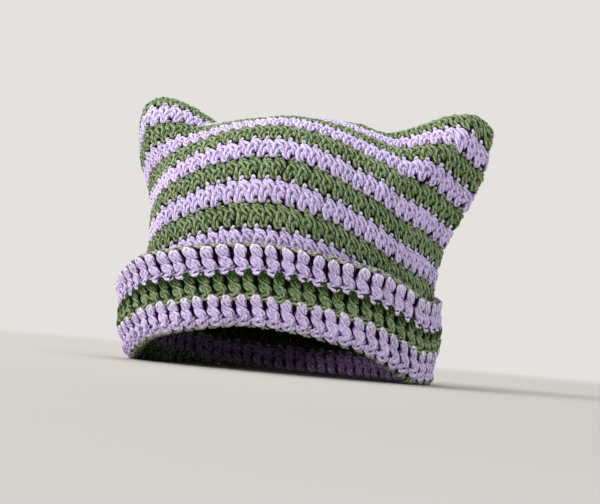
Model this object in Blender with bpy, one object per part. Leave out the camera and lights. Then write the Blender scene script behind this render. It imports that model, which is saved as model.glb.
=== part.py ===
"""Striped crochet hat with two corner ears and a turned-up cuff.

The hat is one tube of sixteen crocheted rounds in two yarns, closed by a straight seam along the top. Its
two top corners stand up as ears, and the first rounds are folded outwards as a cuff, so that the cuff shows
the wrong side of the fabric. Every round is a closed band of its own, with the foundation chain at the free
edge of the cuff and the seam along the top.

Metres, +Z up, front of the hat towards -Y. The origin is under the middle of the hat, on the surface that the
hat stands on.
"""

import math

import bmesh
import bpy
import numpy as np

# The opening, between the faces that touch the head.
OPENING_WIDTH = 0.1902
OPENING_DEPTH = 0.1452

# The fabric.
WALL = 0.0052
RIB = 0.0008
ROUNDS = 16
FIRST_COLOUR = "lilac"
SECOND_COLOUR = "green"

# The cuff.
CUFF_ROUND_HEIGHT = 0.01558
FOLD_SLACK = 0.0034
CUFF_FLARE = 0.0109
FRONT_LIFT = 0.0300

# The crown and its ears.
CROWN_HEIGHT = 0.1694
EAR_RISE = 0.0158
EAR_REACH = 0.1243
SEAM_SET_BACK = 0.0143
BACK_SLOPE = 0.078

# The top seam and the foundation chain.
SEAM_RADIUS = 0.0029
SEAM_END = 0.82
CHAIN_HEIGHT = 0.0036
CHAIN_WALL = 0.0041

# Working clearances.
GAP = 0.0003
FLATTENED = 0.0009

# How finely the solids are faceted.
COLUMNS = 52
CURVE_STEPS = 64

# The seam, from the left ear's tip at place -1 to the right ear's at 1, where place is the share of the way
# along a panel's half width. Reach is sideways, as a share of EAR_REACH. Height is the height over the crown's,
# as a share of EAR_RISE, and set_back a share of SEAM_SET_BACK. Approach, climb and flare are the fabric's run
# into the seam: towards it as a share of the half depth, upwards as a share of the crown's height, and away
# from the middle as a share of EAR_REACH.
SEAM_TABLE = (
    {"place": -1.0, "reach": -0.93, "height": 0.25, "set_back": 0.0, "approach": 0.00, "climb": 0.43, "flare": 0.03},
    {"place": -0.9, "reach": -0.89, "height": 0.80, "set_back": 0.2, "approach": 0.47, "climb": 0.13, "flare": 0.04},
    {"place": -0.7, "reach": -0.65, "height": 0.39, "set_back": 0.4, "approach": 0.61, "climb": 0.04, "flare": -0.05},
    {"place": -0.5, "reach": -0.49, "height": -0.23, "set_back": 0.7, "approach": 0.65, "climb": 0.04, "flare": -0.08},
    {"place": -0.3, "reach": -0.32, "height": -0.33, "set_back": 0.9, "approach": 0.80, "climb": -0.03, "flare": 0.12},
    {"place": 0.0, "reach": 0.00, "height": 0.00, "set_back": 1.0, "approach": 0.75, "climb": 0.00, "flare": 0.00},
    {"place": 0.3, "reach": 0.29, "height": 0.04, "set_back": 0.9, "approach": 0.81, "climb": 0.07, "flare": 0.07},
    {"place": 0.5, "reach": 0.46, "height": -0.33, "set_back": 0.7, "approach": 0.71, "climb": 0.13, "flare": -0.16},
    {"place": 0.7, "reach": 0.81, "height": 0.55, "set_back": 0.4, "approach": 0.71, "climb": 0.29, "flare": 0.21},
    {"place": 0.9, "reach": 0.97, "height": 0.71, "set_back": 0.2, "approach": 0.62, "climb": 0.30, "flare": 0.30},
    {"place": 1.0, "reach": 1.02, "height": 0.45, "set_back": 0.0, "approach": 0.00, "climb": 0.36, "flare": 0.04},
)

# The rim, in degrees from the front round to the right. Spread is how far the rim is pulled out of its oval, as
# a share of its own half width. Lift is the height of the fold over the ground, as a
# share of FRONT_LIFT. Fold is the fold's place in rounds from the cuff's free edge. Flare is a share of
# CUFF_FLARE. Rise is how far the wall runs on upright, as a share of the crown's height, and lean its outward
# lean, as a share of the half width.
RIM_TABLE = (
    {"place": 0, "spread": 0.09, "lift": 1.00, "fold": 3.15, "flare": 0.45, "rise": 0.64, "lean": 0.25},
    {"place": 40, "spread": 0.03, "lift": 0.69, "fold": 3.15, "flare": 1.38, "rise": 0.69, "lean": 0.01},
    {"place": 75, "spread": -0.00, "lift": 0.00, "fold": 3.36, "flare": 0.49, "rise": 0.70, "lean": -0.04},
    {"place": 120, "spread": -0.10, "lift": 0.00, "fold": 3.92, "flare": 0.00, "rise": 0.64, "lean": -0.09},
    {"place": 180, "spread": 0.00, "lift": 0.00, "fold": 3.89, "flare": 0.20, "rise": 0.50, "lean": -0.04},
    {"place": 240, "spread": -0.12, "lift": 0.00, "fold": 3.52, "flare": 0.50, "rise": 0.58, "lean": -0.20},
    {"place": 285, "spread": 0.04, "lift": 0.00, "fold": 3.15, "flare": 1.28, "rise": 0.64, "lean": -0.11},
    {"place": 320, "spread": 0.10, "lift": 0.67, "fold": 3.15, "flare": 0.86, "rise": 0.65, "lean": 0.14},
    {"place": 360, "spread": 0.09, "lift": 1.00, "fold": 3.15, "flare": 0.45, "rise": 0.64, "lean": 0.25},
)

COLOURS = {
    "lilac": (0.60, 0.45, 0.78, 1.0),
    "green": (0.13, 0.22, 0.07, 1.0),
}
YARN_ROUGHNESS = 0.9

HALF_WIDTH = (OPENING_WIDTH + WALL) / 2
HALF_DEPTH = (OPENING_DEPTH + WALL) / 2
FOLD_OFFSET = WALL + FOLD_SLACK
FOLD_RADIUS = FOLD_OFFSET / 2
FOLDED_ROUND = math.ceil(RIM_TABLE[0]["fold"])
ROUNDS_UNDER_CUFF = FOLDED_ROUND + 2
CUFF_HEIGHT = RIM_TABLE[0]["fold"] * CUFF_ROUND_HEIGHT


def smooth_step(value):
    """0 to 1 with level ends."""
    value = min(1.0, max(0.0, value))
    return value * value * (3 - 2 * value)


def slope_at(places, values, i):
    """The slope of a smooth curve at one of its points, level at both ends and at every peak and dip."""
    if i in (0, len(places) - 1):
        return 0.0
    before = (values[i] - values[i - 1]) / (places[i] - places[i - 1])
    after = (values[i + 1] - values[i]) / (places[i + 1] - places[i])
    return 0.0 if before * after <= 0 else 2 * before * after / (before + after)


def from_table(table, column, place):
    """A table's column at a place, on a smooth curve through its rows that never overshoots them."""
    places = [row["place"] for row in table]
    values = [row[column] for row in table]
    i = min(len(table) - 2, max(0, sum(1 for p in places if p <= place) - 1))
    width = places[i + 1] - places[i]
    t = (place - places[i]) / width
    start, end = (width * slope_at(places, values, j) for j in (i, i + 1))
    return (
        (2 * t**3 - 3 * t**2 + 1) * values[i]
        + (t**3 - 2 * t**2 + t) * start
        + (3 * t**2 - 2 * t**3) * values[i + 1]
        + (t**3 - t**2) * end
    )


def at_rim(column, angle):
    """A column of the rim's table at an angle from the front."""
    return from_table(RIM_TABLE, column, math.degrees(angle) % 360)


def rim_point(angle):
    """The middle of the inner layer beside the fold, and the outward direction there."""
    even = angle + (HALF_DEPTH - HALF_WIDTH) / (2 * (HALF_DEPTH + HALF_WIDTH)) * math.sin(2 * angle)
    height = FRONT_LIFT * at_rim("lift", angle) + WALL / 2 + FOLD_RADIUS
    outward = np.array((math.sin(even) * HALF_DEPTH, -math.cos(even) * HALF_WIDTH, 0.0))
    spread = 1 + at_rim("spread", angle)
    point = np.array((spread * math.sin(even) * HALF_WIDTH, -spread * math.cos(even) * HALF_DEPTH, height))
    return point, outward / np.linalg.norm(outward)


def seam_point(side):
    """A point on the middle line of the top seam. Side runs from -1 at the left ear's tip to 1 at the right's."""
    reach, height, set_back = (from_table(SEAM_TABLE, column, side) for column in ("reach", "height", "set_back"))
    return np.array((EAR_REACH * reach, SEAM_SET_BACK * set_back, CROWN_HEIGHT + EAR_RISE * height))


def panel_side(angle):
    """Place across a panel at this angle from the front: -1 at the left crease, 0 in its middle, 1 at the right."""
    return 2 / math.pi * math.asin(max(-1.0, min(1.0, math.sin(angle))))


def seam_run(angle):
    """The direction and length with which the fabric runs into the seam."""
    side = panel_side(angle)
    towards = 1.0 if math.cos(angle) > 0 else -1.0
    flare, approach, climb = (from_table(SEAM_TABLE, column, side) for column in ("flare", "approach", "climb"))
    tilt = -towards * BACK_SLOPE * (1 - smooth_step(abs(side)))
    return np.array(
        (math.copysign(1.0, side) * flare * EAR_REACH, towards * approach * HALF_DEPTH, (climb + tilt) * CROWN_HEIGHT)
    )


def wall_curve(angle):
    """One column of the fabric, from beside the fold up to the seam, as points close together."""
    start, outward = rim_point(angle)
    side = panel_side(angle)
    half_seam = SEAM_RADIUS + GAP
    towards = max(-1.0, min(1.0, 8 * math.cos(angle)))
    end = seam_point(side) - np.array((0.0, towards * half_seam, 0.0))
    rise = at_rim("rise", angle) * CROWN_HEIGHT
    lean = at_rim("lean", angle) * HALF_WIDTH
    first = start + np.array((0.0, 0.0, rise)) + outward * lean
    second = end - seam_run(angle)
    t = np.linspace(0.0, 1.0, CURVE_STEPS + 1)[:, None]
    return (1 - t) ** 3 * start + 3 * (1 - t) ** 2 * t * first + 3 * (1 - t) * t**2 * second + t**3 * end


def along(curve, distances):
    """Points at these distances along a curve."""
    steps = np.linalg.norm(np.diff(curve, axis=0), axis=1)
    travelled = np.concatenate(([0.0], np.cumsum(steps)))
    return np.stack([np.interp(distances, travelled, curve[:, axis]) for axis in range(3)], axis=1)


def column_points(angle, rounds):
    """Middle of the fabric in one column, at places counted in rounds from the cuff's free edge to the seam."""
    rounds = np.asarray(rounds, float)
    curve = wall_curve(angle)
    start, outward = rim_point(angle)
    up = np.array((0.0, 0.0, 1.0))
    fold = at_rim("fold", angle)
    quarter = math.pi / 2 * FOLD_RADIUS
    length = np.linalg.norm(np.diff(curve, axis=0), axis=1).sum() + quarter
    on_cuff = rounds < fold
    travelled = np.where(on_cuff, (fold - rounds) * CUFF_ROUND_HEIGHT, (rounds - fold) * length / (ROUNDS - fold))
    climbed = np.maximum(0.0, travelled - quarter)
    flare = CUFF_FLARE * at_rim("flare", angle) * (climbed / CUFF_HEIGHT) ** 2
    points = along(curve, climbed) + np.where(on_cuff, FOLD_OFFSET + flare, 0.0)[:, None] * outward
    bend = (np.minimum(travelled, quarter) / FOLD_RADIUS)[:, None]
    sideways = np.where(on_cuff, 1.0, -1.0)[:, None] * np.sin(bend) * outward
    folded = start + outward * FOLD_RADIUS + FOLD_RADIUS * (sideways - np.cos(bend) * up)
    return np.where((travelled < quarter)[:, None], folded, points)


def fabric(angles, rounds):
    """Middle points and right-side normals of the fabric on a grid of columns and places."""
    small_angle = 0.03
    small_round = 0.15
    rounds = np.asarray(rounds, float)
    middle = np.array([column_points(a, rounds) for a in angles])
    before = np.array([column_points(a - small_angle, rounds) for a in angles])
    after = np.array([column_points(a + small_angle, rounds) for a in angles])
    lower = np.array([column_points(a, rounds - small_round) for a in angles])
    upper = np.array([column_points(a, np.minimum(rounds + small_round, ROUNDS)) for a in angles])
    normals = np.cross(after - before, upper - lower)
    return middle, normals / np.linalg.norm(normals, axis=2, keepdims=True)


def column_angles():
    """Angles of the columns, from the front round to the right."""
    return [2 * math.pi * i / COLUMNS for i in range(COLUMNS)]


def set_down(point):
    """Presses the lowest of the fabric flat where it rests."""
    return (point[0], point[1], max(0.0, point[2] - FLATTENED))


def room_inside(point, opposite, normal):
    """How thick the inner half of the fabric may be, where the front and the back panel meet inside an ear."""
    across = (opposite - point) / 2
    distance = np.linalg.norm(across)
    if distance < GAP:
        return WALL
    return max(0.0, distance - GAP) / max(0.05, abs(across @ normal) / distance)


def band(name, colour, sections):
    """A closed ring. Sections are the (round, side, thickness) of the points of its cross-section, in order.

    The end faces that two neighbouring rings turn to each other are split the same way, so that they stay apart
    where the fabric twists.
    """
    places = [section[0] for section in sections]
    middle, normals = fabric(column_angles(), places)
    shape = bmesh.new()
    rings = []
    for column in range(COLUMNS):
        ring = []
        for i, (_, side, thickness) in enumerate(sections):
            point, normal = middle[column][i], normals[column][i]
            if side < 0:
                opposite = middle[(COLUMNS // 2 - column) % COLUMNS][i]
                thickness = min(thickness, room_inside(point, opposite, normal))
            ring.append(shape.verts.new(set_down(point + side * thickness * normal)))
        rings.append(ring)
    for column in range(COLUMNS):
        ring = rings[column]
        following = rings[(column + 1) % COLUMNS]
        for i, (_, side, _) in enumerate(sections):
            after = (i + 1) % len(sections)
            if side == sections[after][1]:
                shape.faces.new((ring[i], following[i], following[after], ring[after]))
            elif side < 0:
                shape.faces.new((ring[i], following[i], following[after]))
                shape.faces.new((ring[i], following[after], ring[after]))
            else:
                shape.faces.new((ring[i], following[i], ring[after]))
                shape.faces.new((following[i], following[after], ring[after]))
    return finished(name, colour, shape)


def finished(name, colour, shape):
    """Turns a bmesh into a named object with its yarn's material."""
    bmesh.ops.recalc_face_normals(shape, faces=shape.faces)
    mesh = bpy.data.meshes.new(name)
    shape.to_mesh(mesh)
    shape.free()
    mesh.materials.append(yarn(colour))
    mesh.shade_smooth()
    mesh.set_sharp_from_angle(angle=math.radians(50))
    made = bpy.data.objects.new(name, mesh)
    bpy.context.scene.collection.objects.link(made)
    return made


def yarn(colour):
    """The matte cotton yarn of one colour."""
    name = colour + "_yarn"
    if name in bpy.data.materials:
        return bpy.data.materials[name]
    material = bpy.data.materials.new(name)
    material.use_nodes = True
    shader = material.node_tree.nodes["Principled BSDF"]
    shader.inputs["Base Color"].default_value = COLOURS[colour]
    shader.inputs["Roughness"].default_value = YARN_ROUGHNESS
    shader.inputs["Metallic"].default_value = 0.0
    return material


def round_colour(number):
    """Odd rounds are worked in the first yarn and even ones in the second."""
    return FIRST_COLOUR if number % 2 else SECOND_COLOUR


def places_across(number):
    """Where a round's cross-section has points, as shares of its height. They are closer around the fold."""
    if number == FOLDED_ROUND:
        return [i / 8 for i in range(9)]
    if number == FOLDED_ROUND - 1:
        return [0.0, 0.45, 0.75, 0.88, 1.0]
    if number == FOLDED_ROUND + 1:
        return [0.0, 0.12, 0.25, 0.55, 1.0]
    return [0.0, 0.5, 1.0]


def crochet_round(number):
    """One round of stitches, which swells on its visible face between its joins with the rounds beside it."""
    trim = GAP / 2 / CUFF_ROUND_HEIGHT
    low, high = number - 1 + trim, number - trim
    visible = -1 if number <= ROUNDS_UNDER_CUFF else 1
    shares = places_across(number)
    hidden_shares = shares if len(shares) > 3 else [0.0, 1.0]
    sections = [(low + (high - low) * s, visible, WALL / 2 + RIB * 4 * s * (1 - s)) for s in shares]
    sections += [(low + (high - low) * s, -visible, WALL / 2) for s in reversed(hidden_shares)]
    colour = round_colour(number)
    return band(f"round_{number:02d}_{colour}", colour, sections)


def foundation_chain():
    """The chain that the first round is worked into. It edges the cuff."""
    high = -GAP / 2 / CUFF_ROUND_HEIGHT
    low = high - CHAIN_HEIGHT / CUFF_ROUND_HEIGHT
    sections = [(low, 1, CHAIN_WALL / 2), (high, 1, CHAIN_WALL / 2)]
    sections += [(high, -1, CHAIN_WALL / 2), (low, -1, CHAIN_WALL / 2)]
    return band("foundation_chain", SECOND_COLOUR, sections)


def top_seam():
    """The stitched ridge that closes the last round from one ear's tip to the other."""
    sides = 6
    steps = COLUMNS // 2
    half_seam = SEAM_RADIUS + GAP
    shape = bmesh.new()
    rings = []
    for i in range(steps + 1):
        side = SEAM_END * (2 * i / steps - 1)
        ahead = seam_point(side + 0.01) - seam_point(side - 0.01)
        ahead /= np.linalg.norm(ahead)
        across = np.cross((0.0, 0.0, 1.0), ahead)
        across /= np.linalg.norm(across)
        over = np.cross(ahead, across)
        run = seam_run(side * math.pi / 2)
        steepness = math.atan2(run @ over, abs(run @ across))
        centre = seam_point(side) + half_seam * math.tan(steepness / 2) * over
        ring = []
        for j in range(sides):
            turn = 2 * math.pi * j / sides
            point = centre + SEAM_RADIUS * (math.cos(turn) * across + math.sin(turn) * over)
            ring.append(shape.verts.new(set_down(point)))
        rings.append(ring)
    for ring, following in zip(rings, rings[1:]):
        for j in range(sides):
            after = (j + 1) % sides
            shape.faces.new((ring[j], following[j], following[after], ring[after]))
    shape.faces.new(rings[0])
    shape.faces.new(rings[-1])
    return finished("top_seam", round_colour(ROUNDS), shape)


def clear_scene():
    for old in list(bpy.data.objects):
        bpy.data.objects.remove(old)


def centre_over_origin(pieces):
    """Moves the whole hat so that its box stands on the origin."""
    corners = np.array([vertex.co for piece in pieces for vertex in piece.data.vertices])
    middle = (corners.min(axis=0) + corners.max(axis=0)) / 2
    for piece in pieces:
        for vertex in piece.data.vertices:
            vertex.co.x -= middle[0]
            vertex.co.y -= middle[1]


def main():
    clear_scene()
    pieces = [foundation_chain()]
    pieces += [crochet_round(number) for number in range(1, ROUNDS + 1)]
    pieces.append(top_seam())
    centre_over_origin(pieces)


if __name__ == "__main__":
    main()
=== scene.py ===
"""Looks of the striped crochet hat with two corner ears and a turned-up cuff.

Each round of the frame gets its own stitches: stretches of twisted yarn laid as a double crochet stitch
lays them, repeated round the hat and bent onto the form that the frame's solids have. The chain that the
first round is worked into edges the cuff, and a seam of like stitches closes the top. Metres, +Z up, front
towards -Y.
"""

import functools
import math

import bmesh
import bpy
import numpy as np
from bpy.props import FloatProperty, FloatVectorProperty, IntProperty, PointerProperty
from mathutils import Matrix, Vector


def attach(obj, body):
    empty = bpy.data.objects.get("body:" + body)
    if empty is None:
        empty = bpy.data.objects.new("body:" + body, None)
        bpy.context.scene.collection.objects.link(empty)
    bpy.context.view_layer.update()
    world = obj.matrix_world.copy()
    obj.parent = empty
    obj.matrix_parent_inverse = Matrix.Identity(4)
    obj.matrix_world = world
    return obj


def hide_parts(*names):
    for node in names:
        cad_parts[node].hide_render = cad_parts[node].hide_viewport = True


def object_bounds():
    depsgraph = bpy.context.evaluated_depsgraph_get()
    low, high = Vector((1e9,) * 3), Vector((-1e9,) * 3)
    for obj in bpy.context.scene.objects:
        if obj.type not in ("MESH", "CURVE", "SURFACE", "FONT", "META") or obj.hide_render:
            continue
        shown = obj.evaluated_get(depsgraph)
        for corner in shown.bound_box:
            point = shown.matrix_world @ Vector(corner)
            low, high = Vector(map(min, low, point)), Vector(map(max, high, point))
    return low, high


bl_info = {
    "name": "Striped Crochet Hat",
    "version": (1, 0, 0),
    "blender": (4, 5, 0),
    "location": "3D View > Sidebar > Crochet Hat",
    "description": "Dresses the hat's rounds with crochet stitches and sets its stage",
    "category": "Object",
}

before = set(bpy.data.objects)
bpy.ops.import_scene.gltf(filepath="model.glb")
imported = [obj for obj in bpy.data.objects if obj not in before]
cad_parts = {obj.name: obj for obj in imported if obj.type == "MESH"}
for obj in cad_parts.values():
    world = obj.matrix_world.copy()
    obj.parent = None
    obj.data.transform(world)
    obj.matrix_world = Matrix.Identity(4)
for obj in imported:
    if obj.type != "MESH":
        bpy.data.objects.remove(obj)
FRAME_BOX = [list(corner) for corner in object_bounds()]


def rows(columns, *values):
    """A table with a dictionary for each row, from the names of its columns and the rows' values."""
    return [dict(zip(columns.split(), row)) for row in values]


def strand(name, thickness, *route):
    """One stretch of yarn in a stitch: how thick it is, in yarn thicknesses, and the places on its route."""
    return {"name": name, "thickness": thickness, "route": route}


# The hat's form, as its solids have it: the opening, the fabric, the cuff, the crown with its ears, and the
# seam. FLATTENED is how much of the lowest fabric is pressed flat where the hat rests.
OPENING_WIDTH = 0.1902
OPENING_DEPTH = 0.1452
WALL = 0.0052
RIB = 0.0008
ROUNDS = 16
CUFF_ROUND_HEIGHT = 0.01558
FOLD_SLACK = 0.0034
CUFF_FLARE = 0.0109
FRONT_LIFT = 0.0300
CROWN_HEIGHT = 0.1694
EAR_RISE = 0.0158
EAR_REACH = 0.1243
SEAM_SET_BACK = 0.0143
BACK_SLOPE = 0.078
SEAM_RADIUS = 0.0029
CHAIN_HEIGHT = 0.0036
GAP = 0.0003
FLATTENED = 0.0009
CREASE_SHARPNESS = 8

# The seam from the left ear's tip at place -1 to the right ear's at 1. Reach, height and set_back are shares
# of EAR_REACH, EAR_RISE and SEAM_SET_BACK. Approach, climb and flare are the fabric's run into the seam, as
# shares of the half depth, the crown's height and EAR_REACH.
SEAM_TABLE = rows(
    "place reach height set_back approach climb flare",
    (-1.0, -0.93, 0.25, 0.0, 0.00, 0.43, 0.03),
    (-0.9, -0.89, 0.80, 0.2, 0.47, 0.13, 0.04),
    (-0.7, -0.65, 0.39, 0.4, 0.61, 0.04, -0.05),
    (-0.5, -0.49, -0.23, 0.7, 0.65, 0.04, -0.08),
    (-0.3, -0.32, -0.33, 0.9, 0.80, -0.03, 0.12),
    (0.0, 0.00, 0.00, 1.0, 0.75, 0.00, 0.00),
    (0.3, 0.29, 0.04, 0.9, 0.81, 0.07, 0.07),
    (0.5, 0.46, -0.33, 0.7, 0.71, 0.13, -0.16),
    (0.7, 0.81, 0.55, 0.4, 0.71, 0.29, 0.21),
    (0.9, 0.97, 0.71, 0.2, 0.62, 0.30, 0.30),
    (1.0, 1.02, 0.45, 0.0, 0.00, 0.36, 0.04),
)

# The rim, at places in degrees from the front round to the right. Fold is the cuff's height in rounds.
# Spread is a share of the half width and half depth, and lift, flare, rise and lean are shares of
# FRONT_LIFT, CUFF_FLARE, CROWN_HEIGHT and HALF_WIDTH.
RIM_TABLE = rows(
    "place spread lift fold flare rise lean",
    (0, 0.09, 1.00, 3.15, 0.45, 0.64, 0.25),
    (40, 0.03, 0.69, 3.15, 1.38, 0.69, 0.01),
    (75, 0.00, 0.00, 3.36, 0.49, 0.70, -0.04),
    (120, -0.10, 0.00, 3.92, 0.00, 0.64, -0.09),
    (180, 0.00, 0.00, 3.89, 0.20, 0.50, -0.04),
    (240, -0.12, 0.00, 3.52, 0.50, 0.58, -0.20),
    (285, 0.04, 0.00, 3.15, 1.28, 0.64, -0.11),
    (320, 0.10, 0.67, 3.15, 0.86, 0.65, 0.14),
    (360, 0.09, 1.00, 3.15, 0.45, 0.64, 0.25),
)

HALF_WIDTH = (OPENING_WIDTH + WALL) / 2
HALF_DEPTH = (OPENING_DEPTH + WALL) / 2
FOLD_OFFSET = WALL + FOLD_SLACK
FOLD_RADIUS = FOLD_OFFSET / 2
CUFF_ROUNDS = 3
ROUNDS_UNDER_CUFF = 6
CUFF_HEIGHT = RIM_TABLE[0]["fold"] * CUFF_ROUND_HEIGHT

# Where the soft fabric stands out of its even form, or in where push_out is negative: the middle and the
# reach of each place, in turns and in rounds.
FULL_PLACES = rows(
    "part turn reach place span push_out",
    ("cuff's left end", 0.790, 0.11, 1.7, 1.5, 0.0035),
    ("cuff's right corner", 0.286, 0.10, 0.0, 1.3, -0.0045),
    ("cuff's lower left", 0.800, 0.09, 2.9, 1.1, -0.0030),
    ("cuff's lower right", 0.270, 0.09, 2.9, 1.1, -0.0035),
    ("body's right side", 0.286, 0.11, 8.0, 2.5, 0.0018),
    ("right ear's edge", 0.286, 0.11, 12.9, 4.6, 0.0060),
    ("left ear's edge", 0.786, 0.10, 14.0, 3.5, 0.0020),
)

# How much higher the soft top edge stands than its even form: pairs of a place along X and a height. The
# fabric is lifted from a place in round 14 on.
TOP_LIFTS = (
    (-0.120, -0.0026), (-0.115, -0.0012), (-0.109, 0.0022), (-0.100, 0.0030), (-0.090, 0.0016),
    (-0.080, 0.0012), (-0.072, 0.0018), (-0.064, 0.0012), (-0.055, 0.0000), (-0.020, 0.0004),
    (0.000, 0.0022), (0.012, 0.0032), (0.030, 0.0022), (0.043, 0.0028), (0.050, 0.0038),
    (0.060, 0.0032), (0.074, 0.0026), (0.088, 0.0032), (0.098, 0.0034), (0.106, 0.0028),
    (0.111, 0.0022), (0.116, 0.0012), (0.125, 0.0006),
)
LIFTED_ROUNDS = (13.5, ROUNDS)

# Where the cuff's stitches lean, in turns, and the place in rounds at which the lean starts.
LEAN_TURN = 0.87
LEAN_REACH = 0.14
LEAN_FOOT = CUFF_ROUNDS + 0.3

# How finely the form and the seam's line are worked out, and over how many columns and rows to each side a
# normal is taken. LEAST_FACING bounds the room inside where the panels are almost edge on, ROW_MARGIN keeps
# the top row inside the grid, and nothing lies lower than FLOOR_CLEARANCE.
CURVE_STEPS = 64
ANGLES = 720
COLUMNS = 816
STEPS_A_ROUND = 16
FIRST_PLACE = -0.5
NORMAL_COLUMNS = 3
NORMAL_ROWS = 2
SEAM_PLACES = 241
SIDE_STEP = 0.01
LEAST_FACING = 0.05
ROW_MARGIN = 0.001
FLOOR_CLEARANCE = 0.0001

# How finely a stretch of yarn is made: pairs of sides round it beyond the first two, and steps between two
# places on its route.
FINEST = {"sides": 1, "steps": 3}
FINE = {"sides": 1, "steps": 2}
HALF_HIDDEN = {"sides": 1, "steps": 1}
HIDDEN = {"sides": 0, "steps": 1}

# The yarn's stretches in one stitch. The places of a route are across in stitches, up in rounds and out in
# yarn thicknesses from the fabric's middle.
RIGHT_SIDE = (
    strand(
        "left_leg", 1.35,
        (0.10, 0.80, 0.10), (-0.04, 0.69, 0.60), (-0.16, 0.50, 0.82), (-0.18, 0.29, 0.88),
        (-0.15, 0.13, 0.74), (-0.06, 0.03, 0.25),
    ),
    strand(
        "right_leg", 1.25,
        (0.22, 0.58, 0.15), (0.18, 0.43, 0.62), (0.17, 0.28, 0.78), (0.17, 0.14, 0.68), (0.10, 0.04, 0.25),
    ),
    strand(
        "head", 1.35,
        (-0.14, 0.94, 0.15), (0.02, 0.85, 0.70), (0.22, 0.71, 0.92), (0.40, 0.55, 0.86),
        (0.48, 0.42, 0.60), (0.49, 0.30, 0.15),
    ),
    strand(
        "shoulder", 1.35,
        (0.12, 0.94, 0.20), (0.38, 0.87, 0.70), (0.62, 0.77, 0.80), (0.76, 0.62, 0.62), (0.76, 0.47, 0.15),
    ),
    strand(
        "nub", 0.8,
        (-0.04, 0.90, 0.50), (-0.03, 1.02, 0.88), (0.03, 1.11, 0.98), (0.10, 1.05, 0.80), (0.11, 0.95, 0.30),
    ),
)
WRONG_SIDE = (
    strand(
        "left_rise", 1.15,
        (0.08, -0.05, 0.55), (-0.09, -0.07, 1.05), (-0.20, 0.05, 1.05), (-0.20, 0.21, 0.95),
        (-0.12, 0.36, 0.80), (0.06, 0.48, 0.45),
    ),
    strand(
        "middle_rise", 1.0,
        (0.00, -0.05, 0.80), (0.02, 0.07, 1.15), (0.05, 0.22, 1.05), (0.14, 0.38, 0.70),
    ),
    strand(
        "right_rise", 1.15,
        (-0.04, -0.07, 0.50), (0.12, -0.06, 0.98), (0.23, 0.06, 0.98), (0.24, 0.20, 0.88),
        (0.22, 0.36, 0.50),
    ),
    strand(
        "left_curl", 1.2,
        (-0.26, 0.36, 0.30), (-0.26, 0.52, 0.80), (-0.14, 0.68, 0.95), (0.06, 0.78, 0.60),
    ),
    strand(
        "right_curl", 1.3,
        (-0.06, 0.42, 0.45), (0.13, 0.45, 0.95), (0.29, 0.56, 1.08), (0.28, 0.72, 1.02), (0.10, 0.85, 0.80),
    ),
    strand(
        "inner_curl", 0.9,
        (-0.12, 0.44, 0.60), (-0.02, 0.54, 1.05), (0.10, 0.66, 1.12), (0.20, 0.78, 0.85),
    ),
    strand(
        "upper_loop", 1.1,
        (0.62, 0.72, 0.20), (0.34, 0.78, 0.75), (0.02, 0.84, 0.95), (-0.26, 0.88, 0.80), (-0.38, 0.96, 0.20),
    ),
    strand(
        "lower_loop", 1.25,
        (-0.44, 0.84, 0.20), (-0.30, 0.96, 0.78), (-0.04, 1.03, 0.92), (0.26, 1.00, 0.88),
        (0.50, 0.88, 0.40),
    ),
)
# A green strand that edges the cuff, along the fold.
FOLD_EDGE = (
    strand(
        "fold_edge", 0.6,
        (-0.52, 0.01, 0.70), (-0.22, -0.03, 0.90), (0.14, 0.07, 0.90), (0.48, 0.01, 0.70),
    ),
)
# The plainer stitch on a side that other fabric hides.
PLAIN_SIDE = (
    strand("left", 1.5, (0.10, 0.95, 0.10), (-0.20, 0.60, 0.60), (-0.20, 0.25, 0.60), (0.05, -0.05, 0.10)),
    strand("right", 1.5, (-0.15, 1.00, 0.10), (0.25, 0.75, 0.60), (0.30, 0.30, 0.60), (0.05, -0.02, 0.10)),
)

# The yarn's stretches in one stitch of the chain and of the seam. Along is in stitches, sideways and up in
# yarn thicknesses.
CHAIN_STITCH = (
    strand(
        "near_loop", 0.8,
        (0.20, -0.20, 0.25), (0.35, -0.55, 0.00), (0.50, -0.70, -0.20), (0.65, -0.55, 0.00),
        (0.80, -0.20, 0.25),
    ),
    strand("edge", 0.5, (-0.56, 0.00, 0.30), (-0.22, -0.15, 0.50), (0.16, 0.10, 0.45), (0.52, 0.00, 0.30)),
    strand(
        "far_limb", 0.75,
        (-0.60, 0.10, -0.20), (-0.25, 0.55, 0.00), (0.20, 0.55, 0.10), (0.62, 0.10, -0.20),
    ),
)
SEAM_STITCH = (
    strand(
        "near_limb", 0.8,
        (-0.62, -0.05, -0.25), (-0.30, -0.45, 0.05), (0.15, -0.55, 0.25), (0.48, -0.30, 0.35),
        (0.66, 0.00, 0.00),
    ),
    strand(
        "far_limb", 0.8,
        (-0.62, 0.05, -0.25), (-0.30, 0.45, 0.05), (0.15, 0.55, 0.25), (0.48, 0.30, 0.35),
        (0.66, 0.00, 0.00),
    ),
    strand("filling", 1.1, (-0.50, 0.00, -0.30), (0.00, 0.00, -0.25), (0.50, 0.00, -0.30)),
)

# A thin band in the middle of the fabric, under the strands, which shows as painted shade in the holes
# between them. Its faces are listed along a direction in which no two of them are level.
CORE_THICKNESS = 0.0006
CORE_ORDER = (1.0, math.e, math.pi)

# The fit of a round's stitches: inside the hat they are wider and flatter, and those of the fold are tucked
# in at their foot. The strands of the wrong side slant, by this share of a stitch over their height.
INNER_WIDTH = 1.1
INNER_DEPTH = 0.85
FOLD_TUCK = 0.16
TUCKED_FOOT = (0.35, -0.05)
WRONG_SIDE_SLANT = 0.16

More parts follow.
